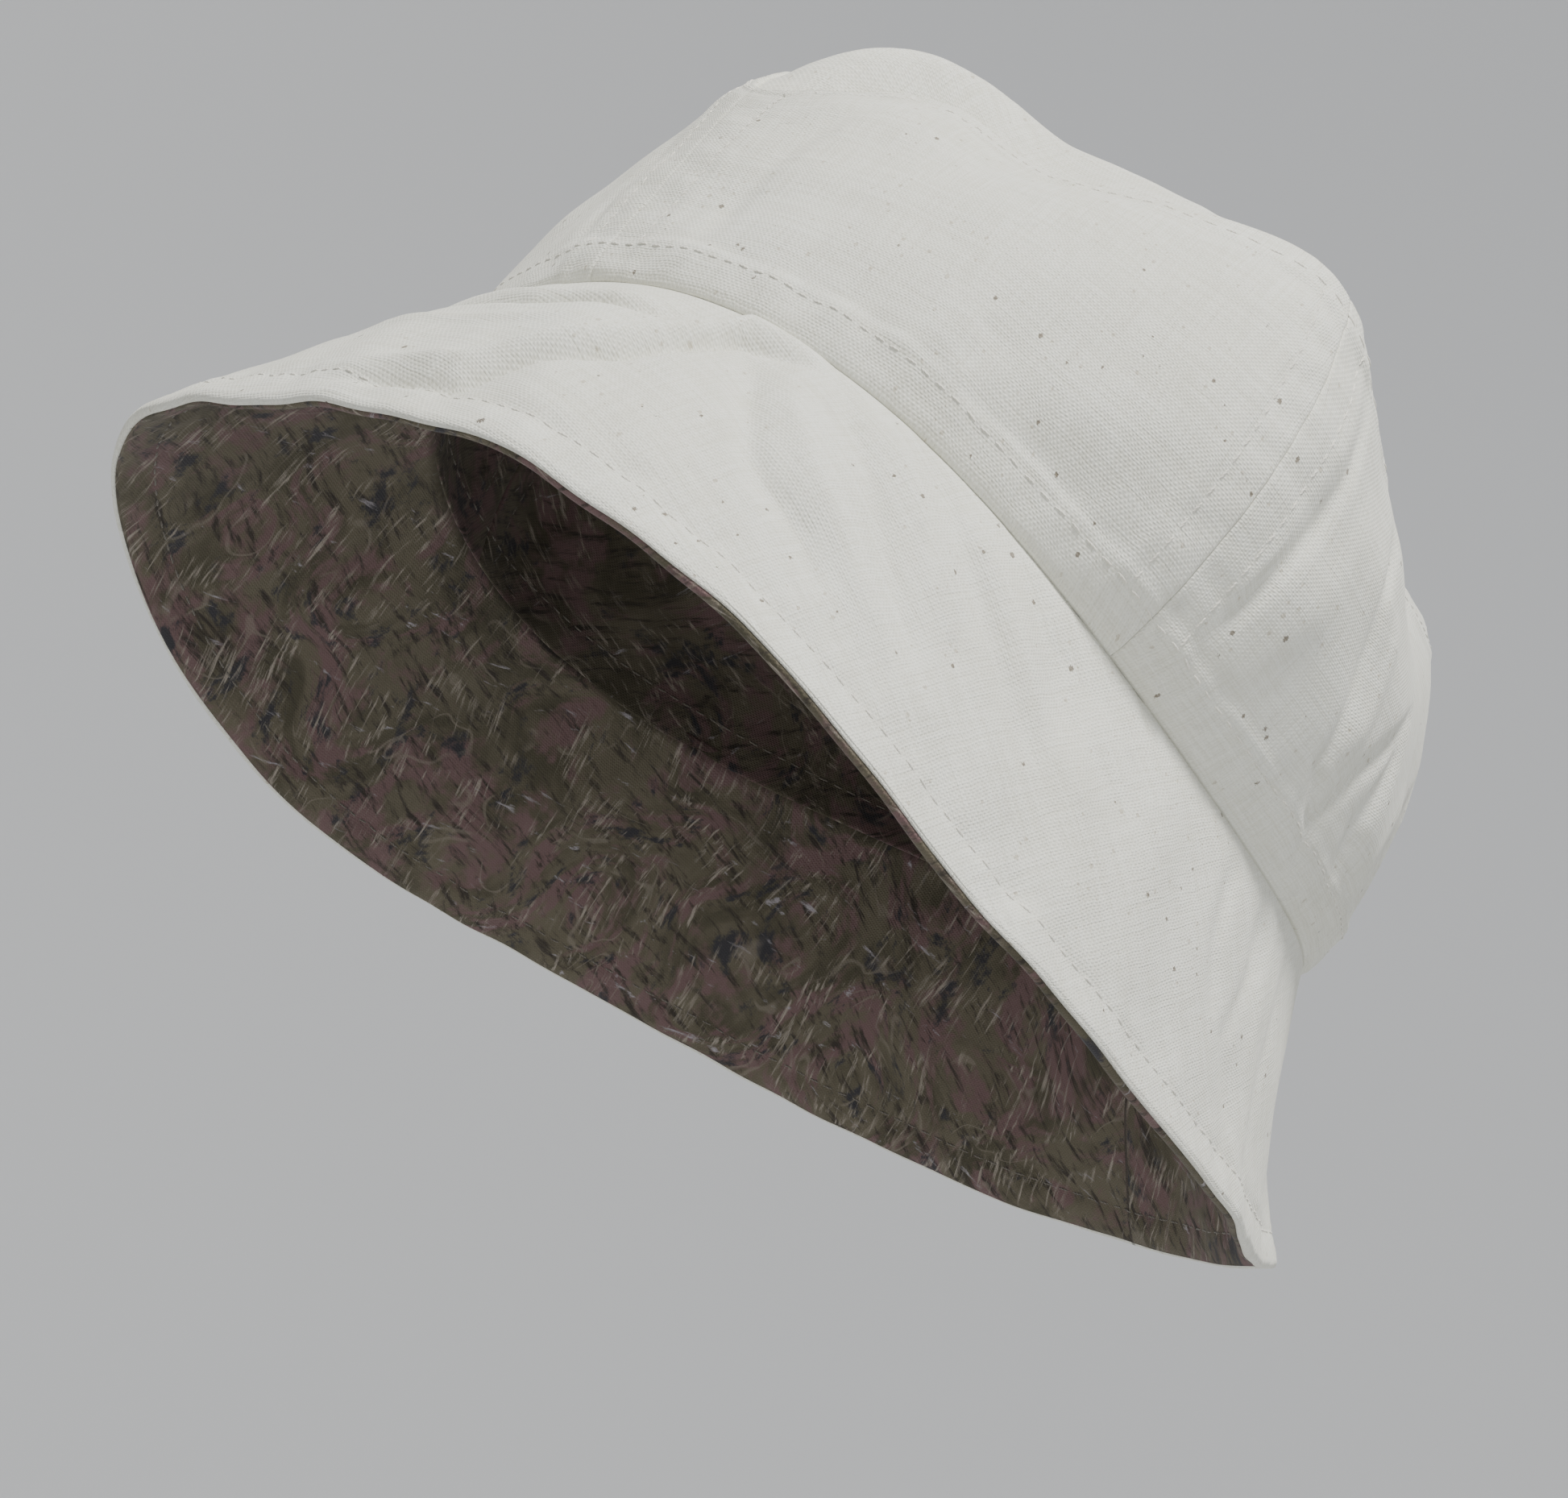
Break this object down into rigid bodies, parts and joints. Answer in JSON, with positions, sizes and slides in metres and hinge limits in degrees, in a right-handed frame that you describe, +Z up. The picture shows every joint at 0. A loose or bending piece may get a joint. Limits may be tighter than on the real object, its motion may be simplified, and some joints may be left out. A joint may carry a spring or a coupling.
{
  "type": "bucket hat",
  "caption": "Reversible cloth bucket hat: cream calico outside, muted camouflage print inside, panelled crown, topstitched seams and flared brim.",
  "frame": {"origin": "centre of the head opening, at the seam between crown and brim", "axes": "+Z up along the crown, -Y towards the wearer's front, +X towards the wearer's left"},
  "size_m": [0.2254, 0.2477, 0.1441],
  "materials": {
    "calico": "matte",
    "printed_cotton": "matte",
    "interlining": "matte",
    "cream_thread": "satin",
    "grey_thread": "satin"
  },
  "bodies": {
    "root": {"outer_panel_1": "calico", "outer_panel_2": "calico", "outer_panel_3": "calico", "outer_panel_4": "calico", "outer_panel_5": "calico", "outer_tip": "calico", "outer_brim": "calico", "lining_panel_1": "printed_cotton", "lining_panel_2": "printed_cotton", "lining_panel_3": "printed_cotton", "lining_panel_4": "printed_cotton", "lining_panel_5": "printed_cotton", "lining_tip": "printed_cotton", "lining_brim": "printed_cotton", "brim_stiffener": "interlining", "panel_topstitching": "cream_thread", "tip_topstitching": "cream_thread", "band_topstitching": "cream_thread", "brim_edge_topstitching": "cream_thread", "lining_panel_topstitching": "grey_thread", "lining_tip_topstitching": "grey_thread", "lining_band_topstitching": "grey_thread", "brim_edge_bobbin_thread": "grey_thread"}
  },
  "joints": []
}
